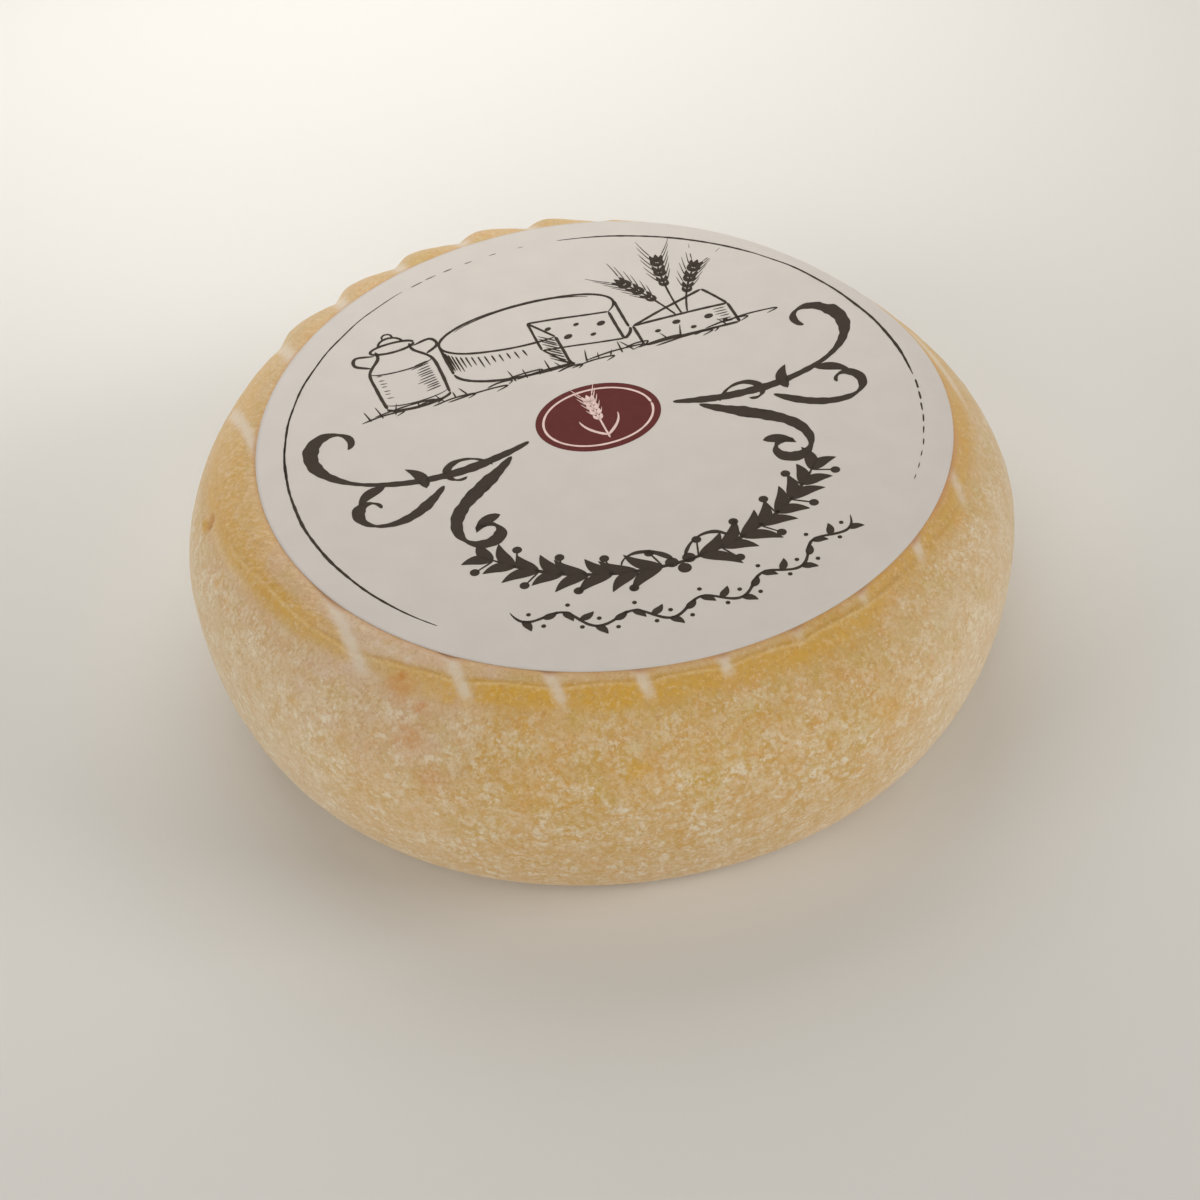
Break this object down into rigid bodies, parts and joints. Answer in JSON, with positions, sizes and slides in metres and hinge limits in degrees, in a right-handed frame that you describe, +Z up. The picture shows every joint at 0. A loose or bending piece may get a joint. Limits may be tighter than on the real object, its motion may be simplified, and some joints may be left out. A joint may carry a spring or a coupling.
{
  "type": "trappist cheese",
  "caption": "Whole wheel of semi-hard cheese with a bulging, powdery golden rind, rack-wire marks across its shoulder, and a round paper label on its top face.",
  "frame": {"origin": "on the underside, in the middle of the wheel's footprint", "axes": "+Z up through the wheel; the picture on the label is read from the -Y side, with +X to the right"},
  "size_m": [0.2016, 0.2064, 0.0642],
  "materials": {
    "rind": "matt golden-beige washed rind with a dusting of pale powder",
    "label_paper": "smooth uncoated off-white paper",
    "dark_ink": "flat dark brown-black printing ink",
    "maroon_ink": "flat maroon printing ink",
    "pale_ink": "pale pink line left clear in the maroon print"
  },
  "bodies": {
    "root": {"cheese_wheel": "rind", "paper_label": "label_paper"}
  },
  "joints": []
}
